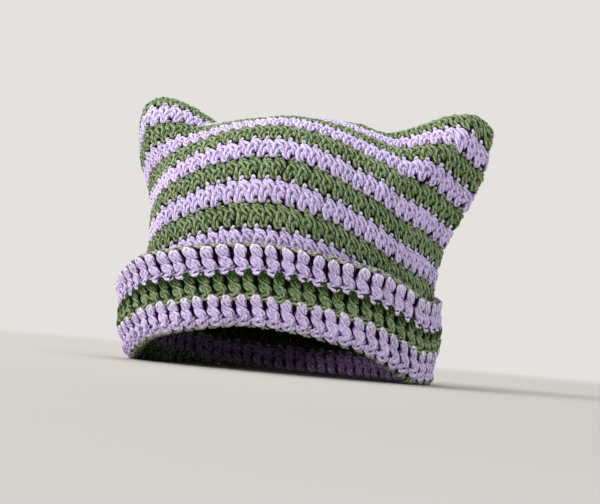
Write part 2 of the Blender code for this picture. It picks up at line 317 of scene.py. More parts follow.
# How one stitch differs from the next in width, place, lean and height, as shares of a stitch or a round,
# and in depth, as a share of its own. The waves are soft bends of each strand.
UNEVEN_WIDTH = 0.05
UNEVEN_PLACE = 0.05
UNEVEN_LEAN = 0.08
UNEVEN_HEIGHT = 0.03
UNEVEN_DEPTH = 0.08
SIDE_WAVE = 0.045
SIDE_WAVES_UP = 8
SIDE_WAVES_OUT = 400
RISE_WAVE = 0.02
RISE_WAVES_ACROSS = 9

# The painted shade and painted highlight of the stitches, and their fuzz. Pairs are where a change
# starts and where it is whole: along a stitch from its foot in rounds, off the fabric's middle in yarn
# thicknesses, or from a strand's underside to its crest.
CREST = (-0.15, 0.65)
UNDERSIDE_LIGHT = 0.25
CUFF_SHADE_HEIGHTS = (0.45, 1.35)
BODY_SHADE_HEIGHTS = (0.3, 1.2)
RIDGE_SHADE_HEIGHTS = (-0.6, 0.3)
LEGS_FOOT = (0.15, 0.40)
LEGS_HEAD = (1.0, 0.8)
LEGS_LIGHT = 0.3
# Painted shade on the inner side behind the fold, and inside the hat down to a least painted light.
BEHIND_FOLD = (CUFF_ROUNDS + 0.2, CUFF_ROUNDS + 0.5)
BEHIND_FOLD_SHADE = 0.1
INSIDE_LIGHT = 0.6
INSIDE_LEAST_LIGHT = {"lilac": 0.3, "green": 0.0}
SEAM_EDGE = (0.75, 0.95)
SEAM_EDGE_LIGHT = 0.6
# Painted shadow at the foot of the cuff's green round, where the lilac round beside it hangs over it.
SHADOWED_FOOT_ROUND = 2
SHADOWED_FOOT = (0.42, 0.07)
FOOT_SHADOW_LOSS = 0.5
SHADOWED_FOOT_FUZZ = 0.3
FUZZY_FOOT = (0.20, -0.08)
FUZZY_HEAD = (0.97, 1.09)
BODY_FOOT_FUZZ = 0.5
CUFF_FUZZ = 0.9
SEAM_FUZZ = 0.2
SEAM_LEAST_PAINTED_LIGHT = 0.5

# The chain lies somewhat flat. The seam's stitches are broad and tall, their ridge rises in the middle, and
# towards the ears' tips they taper and sink into the fabric. Pairs are shares of the way from the middle.
CHAIN_FLATNESS = 0.8
SEAM_PITCH = 0.0075
STITCHES_END = 0.96
SEAM_WIDTH = 1.5
SEAM_HEIGHT = 1.2
SEAM_TAPER = 0.5
TAPERING = (0.82, 0.96)
MIDDLE_RISE = 0.0010
MIDDLE_REACH = 0.8
END_SINK = 0.0016
SINKING = (0.86, 0.96)

# The stage: the backdrop's flat reach, its corner's radius and its top, the lights, and what they face.
FLOOR_REACH = 3.0
CORNER_RADIUS = 2.0
WALL_TOP = 5.0
CORNER_STEPS = 16
TURN_STEPS = 72
MERGE_DISTANCE = 0.0001
HAT_MIDDLE = (0.0, 0.0, 0.08)
LIGHTS = rows(
    "name size place target colour",
    ("key", 1.2, (-1.3, -0.6, 1.5), HAT_MIDDLE, (1.0, 0.97, 0.91)),
    ("low", 0.12, (-0.75, -1.0, 0.05), (0.05, 0.06, 0.02), (1.0, 0.84, 0.96)),
    ("fill", 0.8, (1.5, -0.9, 1.15), HAT_MIDDLE, (0.86, 0.91, 1.0)),
    ("top", 1.0, (-0.2, 0.4, 1.6), HAT_MIDDLE, (1.0, 0.98, 0.93)),
)
DAYLIGHT_COLOUR = (0.90, 0.92, 1.0, 1.0)
CAMERA_TARGET = (0.00156, 0.0, 0.08246)
SENSOR_WIDTH = 36.0
NEAREST_SEEN = 0.01
BLACK = (0.0, 0.0, 0.0, 1.0)


def smooth_step(value):
    """0 to 1 with level ends."""
    value = np.clip(value, 0.0, 1.0)
    return value * value * (3 - 2 * value)


def ramp(value, band):
    """From 0 where the band starts to 1 where it ends, with level ends. A band may run downwards."""
    start, end = band
    return smooth_step((value - start) / (end - start))


def swell(away, reach):
    """1 where away is 0, and down to 0 at the reach on both sides, with level ends."""
    return smooth_step(1 - np.abs(away) / reach)


def slope_at(places, values, i):
    """The slope of a smooth curve at one of its points, level at both ends and at every peak and dip."""
    if i in (0, len(places) - 1):
        return 0.0
    before = (values[i] - values[i - 1]) / (places[i] - places[i - 1])
    after = (values[i + 1] - values[i]) / (places[i + 1] - places[i])
    return 0.0 if before * after <= 0 else 2 * before * after / (before + after)


def from_table(table, column, place):
    """A table's column at a place, on a smooth curve through its rows that never overshoots them."""
    places = [row["place"] for row in table]
    values = [row[column] for row in table]
    i = min(len(table) - 2, max(0, sum(1 for p in places if p <= place) - 1))
    width = places[i + 1] - places[i]
    t = (place - places[i]) / width
    start, end = (width * slope_at(places, values, j) for j in (i, i + 1))
    return (
        (2 * t**3 - 3 * t**2 + 1) * values[i]
        + (t**3 - 2 * t**2 + t) * start
        + (3 * t**2 - 2 * t**3) * values[i + 1]
        + (t**3 - t**2) * end
    )


def lengths_along(path):
    """How far along a path each of its points is."""
    return np.concatenate(([0.0], np.cumsum(np.linalg.norm(np.diff(path, axis=0), axis=1))))


def at_lengths(wanted, lengths, path):
    """The places on a path, or the directions listed for its points, at the wanted lengths."""
    return np.stack([np.interp(wanted, lengths, path[:, axis]) for axis in range(3)], axis=1)


def at_rim(column, angle):
    """A column of the rim's table at an angle from the front."""
    return from_table(RIM_TABLE, column, math.degrees(angle) % 360)


def rim_point(angle):
    """The middle of the inner layer beside the fold, and the outward direction there."""
    evenness = (HALF_DEPTH - HALF_WIDTH) / (2 * (HALF_DEPTH + HALF_WIDTH))
    even = angle + evenness * math.sin(2 * angle)
    height = FRONT_LIFT * at_rim("lift", angle) + WALL / 2 + FOLD_RADIUS
    outward = np.array((math.sin(even) * HALF_DEPTH, -math.cos(even) * HALF_WIDTH, 0.0))
    spread = 1 + at_rim("spread", angle)
    point = np.array((spread * math.sin(even) * HALF_WIDTH, -spread * math.cos(even) * HALF_DEPTH, height))
    return point, outward / np.linalg.norm(outward)


def seam_point(side):
    """A point on the top seam's middle line, at a side from -1 at the left ear's tip to 1 at the right's."""
    columns = ("reach", "height", "set_back")
    reach, height, set_back = (from_table(SEAM_TABLE, column, side) for column in columns)
    return np.array((EAR_REACH * reach, SEAM_SET_BACK * set_back, CROWN_HEIGHT + EAR_RISE * height))


def panel_side(angle):
    """Place across a panel at this angle from the front: -1 at the left crease and 1 at the right."""
    return 2 / math.pi * math.asin(max(-1.0, min(1.0, math.sin(angle))))


def seam_run(angle):
    """The direction and length with which the fabric runs into the seam."""
    side = panel_side(angle)
    towards = 1.0 if math.cos(angle) > 0 else -1.0
    columns = ("flare", "approach", "climb")
    flare, approach, climb = (from_table(SEAM_TABLE, column, side) for column in columns)
    tilt = -towards * BACK_SLOPE * (1 - smooth_step(abs(side)))
    outwards = math.copysign(1.0, side) * flare * EAR_REACH
    return np.array((outwards, towards * approach * HALF_DEPTH, (climb + tilt) * CROWN_HEIGHT))


def wall_curve(angle):
    """One column of the fabric, from beside the fold up to the seam, as points close together."""
    start, outward = rim_point(angle)
    half_seam = SEAM_RADIUS + GAP
    towards = max(-1.0, min(1.0, CREASE_SHARPNESS * math.cos(angle)))
    end = seam_point(panel_side(angle)) - np.array((0.0, towards * half_seam, 0.0))
    rise = at_rim("rise", angle) * CROWN_HEIGHT
    lean_out = at_rim("lean", angle) * HALF_WIDTH
    first = start + np.array((0.0, 0.0, rise)) + outward * lean_out
    second = end - seam_run(angle)
    t = np.linspace(0.0, 1.0, CURVE_STEPS + 1)[:, None]
    return (1 - t) ** 3 * start + 3 * (1 - t) ** 2 * t * first + 3 * (1 - t) * t**2 * second + t**3 * end


def column_points(angle, places):
    """Middle of the fabric in one column, at places in rounds from the cuff's free edge to the seam."""
    curve = wall_curve(angle)
    start, outward = rim_point(angle)
    up = np.array((0.0, 0.0, 1.0))
    fold = at_rim("fold", angle)
    quarter = math.pi / 2 * FOLD_RADIUS
    curve_lengths = lengths_along(curve)
    body_round_height = (curve_lengths[-1] + quarter) / (ROUNDS - fold)
    on_cuff = places < fold
    travelled = np.where(on_cuff, (fold - places) * CUFF_ROUND_HEIGHT, (places - fold) * body_round_height)
    climbed = np.maximum(0.0, travelled - quarter)
    flare = CUFF_FLARE * at_rim("flare", angle) * (climbed / CUFF_HEIGHT) ** 2
    on_curve = at_lengths(climbed, curve_lengths, curve)
    points = on_curve + np.where(on_cuff, FOLD_OFFSET + flare, 0.0)[:, None] * outward
    bend = (np.minimum(travelled, quarter) / FOLD_RADIUS)[:, None]
    sideways = np.where(on_cuff, 1.0, -1.0)[:, None] * np.sin(bend) * outward
    folded = start + outward * FOLD_RADIUS + FOLD_RADIUS * (sideways - np.cos(bend) * up)
    return np.where((travelled < quarter)[:, None], folded, points)


def normals_of(points):
    """Right-side directions of a grid of points, whose columns go round the hat."""
    across = np.roll(points, -NORMAL_COLUMNS, axis=0) - np.roll(points, NORMAL_COLUMNS, axis=0)
    padded = np.pad(points, ((0, 0), (NORMAL_ROWS, NORMAL_ROWS), (0, 0)), mode="edge")
    normals = np.cross(across, padded[:, 2 * NORMAL_ROWS :] - padded[:, : -2 * NORMAL_ROWS])
    return normals / np.linalg.norm(normals, axis=2, keepdims=True)


def room_inside(points, normals):
    """How far the inner side may reach where the front and the back panel meet inside an ear."""
    opposite = np.roll(points[::-1], ANGLES // 2 + 1, axis=0)
    across = (opposite - points) / 2
    distance = np.linalg.norm(across, axis=2)
    facing = np.abs((across * normals).sum(axis=2)) / np.maximum(distance, 1e-9)
    room = np.maximum(0.0, distance - GAP) / np.maximum(LEAST_FACING, facing)
    return np.where(distance < GAP, WALL, room)


@functools.cache
def fabric():
    """The fabric's middle, right-side directions and inner room in even steps, and how far it was moved."""
    places = np.arange(FIRST_PLACE * STEPS_A_ROUND, ROUNDS * STEPS_A_ROUND + 1) / STEPS_A_ROUND
    points = np.array([column_points(2 * math.pi * i / ANGLES, places) for i in range(ANGLES)])
    normals = normals_of(points)
    outer = points + np.sign(places - ROUNDS_UNDER_CUFF)[:, None] * (WALL / 2 + RIB) * normals
    corners = (outer.reshape(-1, 3).min(axis=0) + outer.reshape(-1, 3).max(axis=0)) / 2
    middle = (np.array(FRAME_BOX[0]) + np.array(FRAME_BOX[1])) / 2
    shift = np.array((middle[0] - corners[0], middle[1] - corners[1], -FLATTENED))
    data = np.concatenate((points + shift, normals, room_inside(points, normals)[..., None]), axis=2)
    data = np.concatenate((data, data[:1]), axis=0)
    steps = np.linalg.norm(np.diff(data[..., :3], axis=0), axis=2)
    travelled = np.concatenate((np.zeros((1, len(places))), np.cumsum(steps, axis=0)))
    even = np.empty((len(places), COLUMNS + 1, data.shape[2]))
    for i in range(len(places)):
        wanted = np.linspace(0.0, travelled[-1, i], COLUMNS + 1)
        for j in range(data.shape[2]):
            even[i, :, j] = np.interp(wanted, travelled[:, i], data[:, i, j])
    return even, shift


def lift(across, place):
    """How much higher than its even form the top of the hat stands at places along X."""
    lift_places, heights = zip(*TOP_LIFTS)
    return np.interp(across, lift_places, heights) * ramp(place, LIFTED_ROUNDS)


def on_fabric(turn, place, out):
    """Points on the fabric: turn goes round from 0 to 1, place counts rounds, and out is off its middle."""
    grid = fabric()[0]
    column = (turn % 1.0) * COLUMNS
    row = np.clip((place - FIRST_PLACE) * STEPS_A_ROUND, 0.0, len(grid) - 1 - ROW_MARGIN)
    i, j = np.floor(row).astype(int), np.minimum(np.floor(column).astype(int), COLUMNS - 1)
    di, dj = (row - i)[:, None], (column - j)[:, None]
    low = grid[i, j] * (1 - dj) + grid[i, j + 1] * dj
    high = grid[i + 1, j] * (1 - dj) + grid[i + 1, j + 1] * dj
    here = low * (1 - di) + high * di
    normal = here[:, 3:6] / np.linalg.norm(here[:, 3:6], axis=1, keepdims=True)
    inner_limit = np.where(place > ROUNDS_UNDER_CUFF, np.maximum(here[:, 6], 0.0), np.inf)
    points = here[:, :3] + np.maximum(out, -inner_limit)[:, None] * normal
    points[:, 2] = np.maximum(points[:, 2] + lift(points[:, 0], place), FLOOR_CLEARANCE)
    return points


class YarnSettings(bpy.types.PropertyGroup):
    """The two yarns."""

    lilac: FloatVectorProperty(
        name="Lilac", description="Colour of the odd rounds",
        subtype="COLOR", default=(0.63, 0.54, 0.83), min=0, max=1,
    )
    # Painted shade: the colour of the deepest hollows between the stitches.
    lilac_shade: FloatVectorProperty(
        name="Lilac Shade", description="Lilac yarn deep in the stitches",
        subtype="COLOR", default=(0.008, 0.003, 0.018), min=0, max=1,
    )
    # Painted shade: the colour of the creases, between the deepest hollows and the yarn's own colour.
    lilac_crease: FloatVectorProperty(
        name="Lilac Crease", description="Lilac yarn in the creases between its bends",
        subtype="COLOR", default=(0.16, 0.065, 0.21), min=0, max=1,
    )
    # Partly the loose fibres' paler colour and partly the colour of the painted highlight on the crests.
    lilac_fuzz_and_highlight: FloatVectorProperty(
        name="Lilac Fuzz And Highlight", description="Lilac yarn where it stands out and its fibres are loose",
        subtype="COLOR", default=(0.80, 0.75, 0.86), min=0, max=1,
    )
    green: FloatVectorProperty(
        name="Green", description="Colour of the even rounds",
        subtype="COLOR", default=(0.160, 0.246, 0.098), min=0, max=1,
    )
    # Painted shade: the colour of the deepest hollows between the stitches.
    green_shade: FloatVectorProperty(
        name="Green Shade", description="Green yarn deep in the stitches",
        subtype="COLOR", default=(0.002, 0.005, 0.001), min=0, max=1,
    )
    # Painted shade: the colour of the creases, between the deepest hollows and the yarn's own colour.
    green_crease: FloatVectorProperty(
        name="Green Crease", description="Green yarn in the creases between its bends",
        subtype="COLOR", default=(0.013, 0.040, 0.005), min=0, max=1,
    )
    # Partly the loose fibres' paler colour and partly the colour of the painted highlight on the crests.
    green_fuzz_and_highlight: FloatVectorProperty(
        name="Green Fuzz And Highlight", description="Green yarn where it stands out and its fibres are loose",
        subtype="COLOR", default=(0.44, 0.46, 0.37), min=0, max=1,
    )
    # Painted shade: below this painted light the yarn takes the colours of the hollows and creases.
    lilac_hollows: FloatProperty(
        name="Lilac Hollows", description="Share of the lilac yarn that lies dark between its bends",
        subtype="FACTOR", default=0.32, min=0, max=1,
    )
    # Painted shade: below this painted light the yarn takes the colours of the hollows and creases.
    green_hollows: FloatProperty(
        name="Green Hollows", description="Share of the green yarn that lies dark between its bends",
        subtype="FACTOR", default=0.5, min=0, max=1,
    )
    # Painted highlight: paler colour on the crests, where the painted light is high.
    lilac_bloom: FloatProperty(
        name="Lilac Painted Highlight", description="How pale the crests of the lilac yarn are",
        subtype="FACTOR", default=0.15, min=0, max=1,
    )
    # Painted highlight: paler colour on the crests, where the painted light is high.
    green_bloom: FloatProperty(
        name="Green Painted Highlight", description="How pale the crests of the green yarn are",
        subtype="FACTOR", default=0.65, min=0, max=1,
    )
    thickness: FloatProperty(
        name="Thickness", description="Thickness of the yarn", subtype="DISTANCE", default=0.0025
    )
    plies: IntProperty(
        name="Plies", description="Strands twisted together in the yarn", default=4, min=2, max=6
    )
    lay: FloatProperty(
        name="Lay", description="Yarn thicknesses in one turn of the twist", default=6.0, min=1, max=12
    )


class StitchSettings(bpy.types.PropertyGroup):
    """The stitches."""

    per_round: IntProperty(
        name="Stitches", description="Stitches in each round", default=68, min=20, max=200
    )
    front_stretch: FloatProperty(
        name="Front Stretch", description="How much wider the cuff's stitches are at the front",
        subtype="FACTOR", default=0.06, min=0, max=0.5,
    )
    offset: FloatProperty(
        name="Offset", description="How far each round's stitches stand beside those they are worked into",
        subtype="FACTOR", default=-0.42, min=-1, max=1,
    )
    left_lean: FloatProperty(
        name="Left Lean", description="How many stitches the left of the cuff leans in one round",
        default=0.3, min=0, max=1,
    )
    unevenness: FloatProperty(
        name="Unevenness", description="How much one stitch differs from the next",
        subtype="FACTOR", default=0.65, min=0, max=1,
    )
    seed: IntProperty(name="Seed", description="Start of the stitches' unevenness", default=7, min=0)


class StageSettings(bpy.types.PropertyGroup):
    """The floor, the lights and the camera."""

    floor: FloatVectorProperty(
        name="Floor", description="Colour of the floor",
        subtype="COLOR", default=(0.46, 0.447, 0.43), min=0, max=1,
    )
    wall: FloatVectorProperty(
        name="Wall", description="Tone of the wall all round",
        subtype="COLOR", default=(0.78, 0.76, 0.73), min=0, max=1,
    )
    daylight: FloatProperty(
        name="Daylight", description="Strength of the even light from all round", default=0.46, min=0
    )
    key: FloatProperty(
        name="Key", description="Power of the large light on the left", subtype="POWER", default=28.0, min=0
    )
    low: FloatProperty(
        name="Low", description="Power of the low light in front", subtype="POWER", default=3.6, min=0
    )
    fill: FloatProperty(
        name="Fill", description="Power of the light on the right", subtype="POWER", default=5.4, min=0
    )
    top: FloatProperty(
        name="Top", description="Power of the light above", subtype="POWER", default=14.0, min=0
    )
    azimuth: FloatProperty(
        name="Azimuth", description="Camera's turn round the hat from its front",
        subtype="ANGLE", default=math.radians(13.24),
    )
    distance: FloatProperty(
        name="Distance", description="Camera's distance", subtype="DISTANCE", default=1.0464
    )
    height: FloatProperty(
        name="Height", description="Camera's height over the floor", subtype="DISTANCE", default=0.0226
    )
    roll: FloatProperty(
        name="Roll", description="Camera's roll", subtype="ANGLE", default=math.radians(4.93)
    )
    lens: FloatProperty(name="Lens", description="Focal length in millimetres", default=92.0, min=10)


def new_object(name, data):
    """An object in the scene."""
    made = bpy.data.objects.new(name, data)
    bpy.context.scene.collection.objects.link(made)
    return made


def mesh_of(shape, name):
    """A mesh of a bmesh, which is freed."""
    made = bpy.data.meshes.new(name)
    shape.to_mesh(made)
    shape.free()
    return made


def places_of(mesh):
    """The mesh's vertices as an array."""
    places = np.empty(len(mesh.vertices) * 3)
    mesh.vertices.foreach_get("co", places)
    return places.reshape(-1, 3)


def stretch_of_yarn(route, scale, thickness, sides, steps):
    """A mesh of one stretch of yarn along a smooth route. Its UV map runs along it in yarn thicknesses."""
    curve = bpy.data.curves.new("yarn", "CURVE")
    curve.dimensions = "3D"
    curve.bevel_depth = thickness / 2
    curve.bevel_resolution = sides
    curve.resolution_u = steps
    curve.use_fill_caps = True
    spline = curve.splines.new("BEZIER")
    spline.bezier_points.add(len(route) - 1)
    places = np.array(route) * scale
    for point, place in zip(spline.bezier_points, places):
        point.co = place
        point.handle_left_type = point.handle_right_type = "AUTO"
    made = bpy.data.objects.new("yarn", curve)
    mesh = bpy.data.meshes.new_from_object(made)
    uv = np.empty(len(mesh.loops) * 2)
    mesh.uv_layers[0].data.foreach_get("uv", uv)
    uv[0::2] *= lengths_along(places)[-1] / thickness
    mesh.uv_layers[0].data.foreach_set("uv", uv)
    rings = places_of(mesh).reshape(-1, 4 + 2 * sides, 3)[:, :, 2]
    crest = (rings - rings.mean(axis=1, keepdims=True)) / (thickness / 2) * np.sign(scale[2])
    crest = crest.astype(np.float32).ravel()
    mesh.attributes.new("crest", "FLOAT", "POINT").data.foreach_set("value", crest)
    bpy.data.objects.remove(made)
    bpy.data.curves.remove(curve)
    return mesh


def strands(table, scale, thickness, detail, left_out=()):
    """The meshes of a table's stretches of yarn."""
    return [
        stretch_of_yarn(row["route"], scale, thickness * row["thickness"], **detail)
        for row in table
        if row["name"] not in left_out
    ]


def joined(meshes, name):
    """One mesh of several."""
    shape = bmesh.new()
    for mesh in meshes:
        shape.from_mesh(mesh)
        bpy.data.meshes.remove(mesh)
    return mesh_of(shape, name)


def repeated(template, name, count, step):
    """An object with copies of a mesh in a row along X, its vertices, and the copy that each belongs to."""
    copy_size = len(template.vertices)
    made = new_object(name, template)
    array = made.modifiers.new("row", "ARRAY")
    array.use_relative_offset = False
    array.use_constant_offset = True
    array.constant_offset_displace = (step, 0.0, 0.0)
    array.count = count
    row = bpy.data.meshes.new_from_object(made.evaluated_get(bpy.context.evaluated_depsgraph_get()))
    made.modifiers.clear()
    made.data = row
    bpy.data.meshes.remove(template)
    row.name = name
    places = places_of(row)
    return made, places, np.arange(len(places)) // copy_size


def put(mesh, places, **values):
    """Gives the mesh's vertices new places, and an attribute for each of the named values."""
    mesh.vertices.foreach_set("co", places.astype(np.float32).ravel())
    mesh.attributes.remove(mesh.attributes["crest"])
    for name, value in values.items():
        mesh.attributes.new(name, "FLOAT", "POINT").data.foreach_set("value", value.astype(np.float32))
    mesh.shade_smooth()
    mesh.update()


def finish_piece(piece, colour, *nodes):
    """Gives a piece its yarn, makes it stand for its nodes and lets it ride with the hat."""
    piece.data.materials.clear()
    piece.data.materials.append(yarn_material(colour))
    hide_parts(*nodes)
    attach(piece, "root")


def round_colour(number):
    """Odd rounds are lilac and even ones green."""
    return "lilac" if number % 2 else "green"


def stitch_pitch():
    """The width of a stitch, from the length round the flattened opening."""
    return (OPENING_WIDTH + OPENING_DEPTH) * math.pi / 2 / bpy.context.scene.hat_stitches.per_round


def shade_core_mesh(pitch):
    """A thin band of yarn in the middle of a stitch's cell, which keeps light from shining through.

    Its painted light is low, so it shows as painted shade in the holes between the strands.
    """
    shape = bmesh.new()
    bmesh.ops.create_grid(shape, x_segments=2, y_segments=4, size=0.5, calc_uvs=True)
    bmesh.ops.scale(shape, vec=(pitch, CUFF_ROUND_HEIGHT, 1.0), verts=shape.verts)
    bmesh.ops.translate(shape, vec=(0.0, CUFF_ROUND_HEIGHT / 2, 0.0), verts=shape.verts)
    bmesh.ops.solidify(shape, geom=shape.faces[:], thickness=CORE_THICKNESS)
    bmesh.ops.translate(shape, vec=(0.0, 0.0, CORE_THICKNESS / 2), verts=shape.verts)
    # Solidify lists the faces of the rim in another order each run.
    shape.faces.sort(key=lambda face: face.calc_center_median().dot(CORE_ORDER))
    return mesh_of(shape, "core")


def stitch_mesh(number, pitch, thickness):
    """One stitch of a round, at the size of the cuff's. A side that hardly shows has fewer faces."""
    right = np.array((pitch, CUFF_ROUND_HEIGHT, thickness))
    wrong = right * (1, 1, -1)
    meshes = [shade_core_mesh(pitch)]
    if number > ROUNDS_UNDER_CUFF:
        meshes += strands(RIGHT_SIDE, right, thickness, FINE, ("nub",) if number == ROUNDS else ())
        meshes += strands(WRONG_SIDE, wrong, thickness, HIDDEN)
    else:
        meshes += strands(PLAIN_SIDE, right, thickness, HIDDEN)
        meshes += strands(WRONG_SIDE, wrong, thickness, HALF_HIDDEN if number > CUFF_ROUNDS + 1 else FINE)
    if number == CUFF_ROUNDS + 1:
        meshes += strands(FOLD_EDGE, wrong, thickness, FINE)
    return joined(meshes, "stitch")


def fuzz_at(number, up, out):
    """How pale the loose fibres make the two ends of a stitch, where its yarn stands out most."""
    foot = ramp(up, FUZZY_FOOT)
    head = ramp(up, FUZZY_HEAD)
    if number > ROUNDS_UNDER_CUFF:
        return np.maximum(BODY_FOOT_FUZZ * foot, head) * (out > 0)
    return CUFF_FUZZ * np.maximum(foot, head) * (out < 0)


def painted_light_and_fuzz(number, mesh, up, out):
    """Painted light of each vertex, from 0 in painted shade to 1, and how pale loose fibres make it.

    Painted light goes by the height off the fabric's middle and by the side of the yarn, with painted
    shade on each strand's underside, and then by the place in the hat: inside it all gets painted shade,
    and the green round of the cuff has a painted shadow at its foot. The paleness is partly the loose
    fibres and partly painted highlight, as it grows with the painted light.
    """
    inner = out < 0
    crest = np.empty(len(mesh.vertices))
    mesh.attributes["crest"].data.foreach_get("value", crest)
    height = np.abs(out) / bpy.context.scene.hat_yarn.thickness
    depth = ramp(height, CUFF_SHADE_HEIGHTS if number <= CUFF_ROUNDS else BODY_SHADE_HEIGHTS)
    # Painted shade on the underside of each strand.
    depth = depth * (UNDERSIDE_LIGHT + (1 - UNDERSIDE_LIGHT) * ramp(crest, CREST))
    # Less painted shade on the legs of the right side's stitches, between their foot and head.
    if number > ROUNDS_UNDER_CUFF:
        legs = ramp(up, LEGS_FOOT) * ramp(up, LEGS_HEAD)
        depth = np.maximum(depth, LEGS_LIGHT * legs * (out > 0))
    # Painted shade on the inner side, a little deeper from just above the fold on.
    fold_shade = BEHIND_FOLD_SHADE * ramp(number - 1 + up, BEHIND_FOLD)
    depth = np.where(inner, (1 - fold_shade) * depth, depth)
    # Painted shade inside the hat, down to a least painted light for each yarn.
    if number > CUFF_ROUNDS + 1:
        painted_inside_light = np.maximum(INSIDE_LEAST_LIGHT[round_colour(number)], INSIDE_LIGHT * depth)
        depth = np.where(inner, painted_inside_light, depth)
    # The fibres' paleness grows with the painted light, which makes it partly painted highlight.
    fuzz = fuzz_at(number, up, out) * depth
    # Less painted shade along the top edge of the last round, under the seam.
    if number == ROUNDS:
        depth = np.maximum(depth, SEAM_EDGE_LIGHT * ramp(up, SEAM_EDGE))
    # Painted shadow at the foot of the cuff's green round, with less fuzz there.
    if number == SHADOWED_FOOT_ROUND:
        depth = depth * (1 - FOOT_SHADOW_LOSS * ramp(up, SHADOWED_FOOT) * inner)
        fuzz = SHADOWED_FOOT_FUZZ * fuzz
    return depth, fuzz


def fitted(number, across, up, out):
    """A round's stitches fitted to their place: wider and flatter inside the hat, tucked in at the fold."""
    if number > CUFF_ROUNDS + 1:
        across = np.where(out < 0, INNER_WIDTH * across, across)
        out = np.where(out < 0, INNER_DEPTH * out, out)
    if number == CUFF_ROUNDS + 1:
        up = up + FOLD_TUCK * ramp(up, TUCKED_FOOT)
    return across, up, out


def loosened(random, count, copy, across, up, out):
    """A round's stitches with each one a little unlike the next."""
    unevenness = bpy.context.scene.hat_stitches.unevenness
    wider, aside, leaning, taller, deeper = random.normal(size=(5, count))[:, copy] * unevenness
    side_start, rise_start = random.uniform(0.0, 2 * math.pi, size=(2, count))[:, copy]
    slant = UNEVEN_LEAN * leaning + WRONG_SIDE_SLANT * (out < 0)
    across = across * (1 + UNEVEN_WIDTH * wider) + UNEVEN_PLACE * aside + slant * (up - 0.5)
    across = across + SIDE_WAVE * np.sin(SIDE_WAVES_UP * up + SIDE_WAVES_OUT * out + side_start)
    up = up + UNEVEN_HEIGHT * taller + RISE_WAVE * np.sin(RISE_WAVES_ACROSS * across + rise_start)
    return across, up, out * (1 + UNEVEN_DEPTH * deeper)


def stretched(turn, share):
    """Turns round the hat, with the stitches wider by this share at the front."""
    return turn + share / (2 * math.pi) * np.sin(2 * math.pi * turn)


def leaning_turn(turn, place):
    """Turns round the hat, with the left of the cuff leaning: it stands square to the raised front edge."""
    stitches = bpy.context.scene.hat_stitches
    share = swell(turn % 1.0 - LEAN_TURN, LEAN_REACH) * np.maximum(0.0, LEAN_FOOT - place)
    return turn - stitches.left_lean * share / stitches.per_round


def fullness(turn, place):
    """How far the fabric stands out towards its right side, which faces inwards on the cuff."""
    total = np.zeros(len(turn))
    for spot in FULL_PLACES:
        outwards = spot["push_out"] if spot["place"] > CUFF_ROUNDS else -spot["push_out"]
        around = swell(turn % 1.0 - spot["turn"], spot["reach"])
        total += outwards * around * swell(place - spot["place"], spot["span"])
    return total


def crochet_round(number):
    """One round of stitches, laid on the fabric's form."""
    stitches = bpy.context.scene.hat_stitches
    count = stitches.per_round
    pitch = stitch_pitch()
    colour = round_colour(number)
    template = stitch_mesh(number, pitch, bpy.context.scene.hat_yarn.thickness)
    piece, places, copy = repeated(template, f"stitches_round_{number:02d}", count, pitch)
    across = places[:, 0] / pitch - copy
    up = places[:, 1] / CUFF_ROUND_HEIGHT
    out = places[:, 2]
    depth, fuzz = painted_light_and_fuzz(number, piece.data, up, out)
    random = np.random.default_rng(stitches.seed + number)
    across, up, out = loosened(random, count, copy, *fitted(number, across, up, out))
    tone = random.uniform(size=count)[copy]
    place = number - 1 + up
    turn = (copy + 0.5 + number * stitches.offset + across) / count
    turn = stretched(turn, stitches.front_stretch * ramp(number, (ROUNDS_UNDER_CUFF - 1, CUFF_ROUNDS)))
    turn = leaning_turn(turn, place)
    out = out + fullness(turn, place)
    put(piece.data, on_fabric(turn, place, out), depth=depth, tone=tone, fuzz=fuzz)
    finish_piece(piece, colour, f"round_{number:02d}_{colour}")


def stitched_ridge(table, name, count, pitch, detail):
    """A row of a table's stitches along X, its vertices and their tones, and the yarn's thickness."""
    thickness = bpy.context.scene.hat_yarn.thickness
    meshes = strands(table, np.array((pitch, thickness, thickness)), thickness, detail)
    piece, places, copy = repeated(joined(meshes, "stitch"), name, count, pitch)
    tone = np.random.default_rng(bpy.context.scene.hat_stitches.seed).uniform(size=count)[copy]
    return piece, places, tone, thickness


def foundation_chain():
    """The chain that the first round is worked into, along the free edge of the cuff."""
    stitches = bpy.context.scene.hat_stitches
    count = stitches.per_round
    pitch = stitch_pitch()
    name = "foundation_chain_yarn"
    piece, places, tone, thickness = stitched_ridge(CHAIN_STITCH, name, count, pitch, FINE)
    turn = stretched((places[:, 0] / pitch + 0.5 + stitches.offset) / count, stitches.front_stretch)
    place = -(CHAIN_HEIGHT / 2 + CHAIN_FLATNESS * places[:, 2]) / CUFF_ROUND_HEIGHT
    turn = leaning_turn(turn, place)
    out = places[:, 1] + fullness(turn, place)
    # Painted shade where the chain's yarn lies low.
    depth = ramp((np.abs(places[:, 1]) + places[:, 2] / 2) / thickness, RIDGE_SHADE_HEIGHTS)
    put(piece.data, on_fabric(turn, place, out), depth=depth, tone=tone, fuzz=CUFF_FUZZ * depth)
    finish_piece(piece, "green", "foundation_chain")


def seam_frame(side):
    """The seam's middle, and the directions across it and over it."""
    ahead = seam_point(side + SIDE_STEP) - seam_point(side - SIDE_STEP)
    ahead /= np.linalg.norm(ahead)
    across = np.cross((0.0, 0.0, 1.0), ahead)
    across /= np.linalg.norm(across)
    over = np.cross(ahead, across)
    run = seam_run(side * math.pi / 2)
    steepness = math.atan2(run @ over, abs(run @ across))
    return seam_point(side) + (SEAM_RADIUS + GAP) * math.tan(steepness / 2) * over, across, over


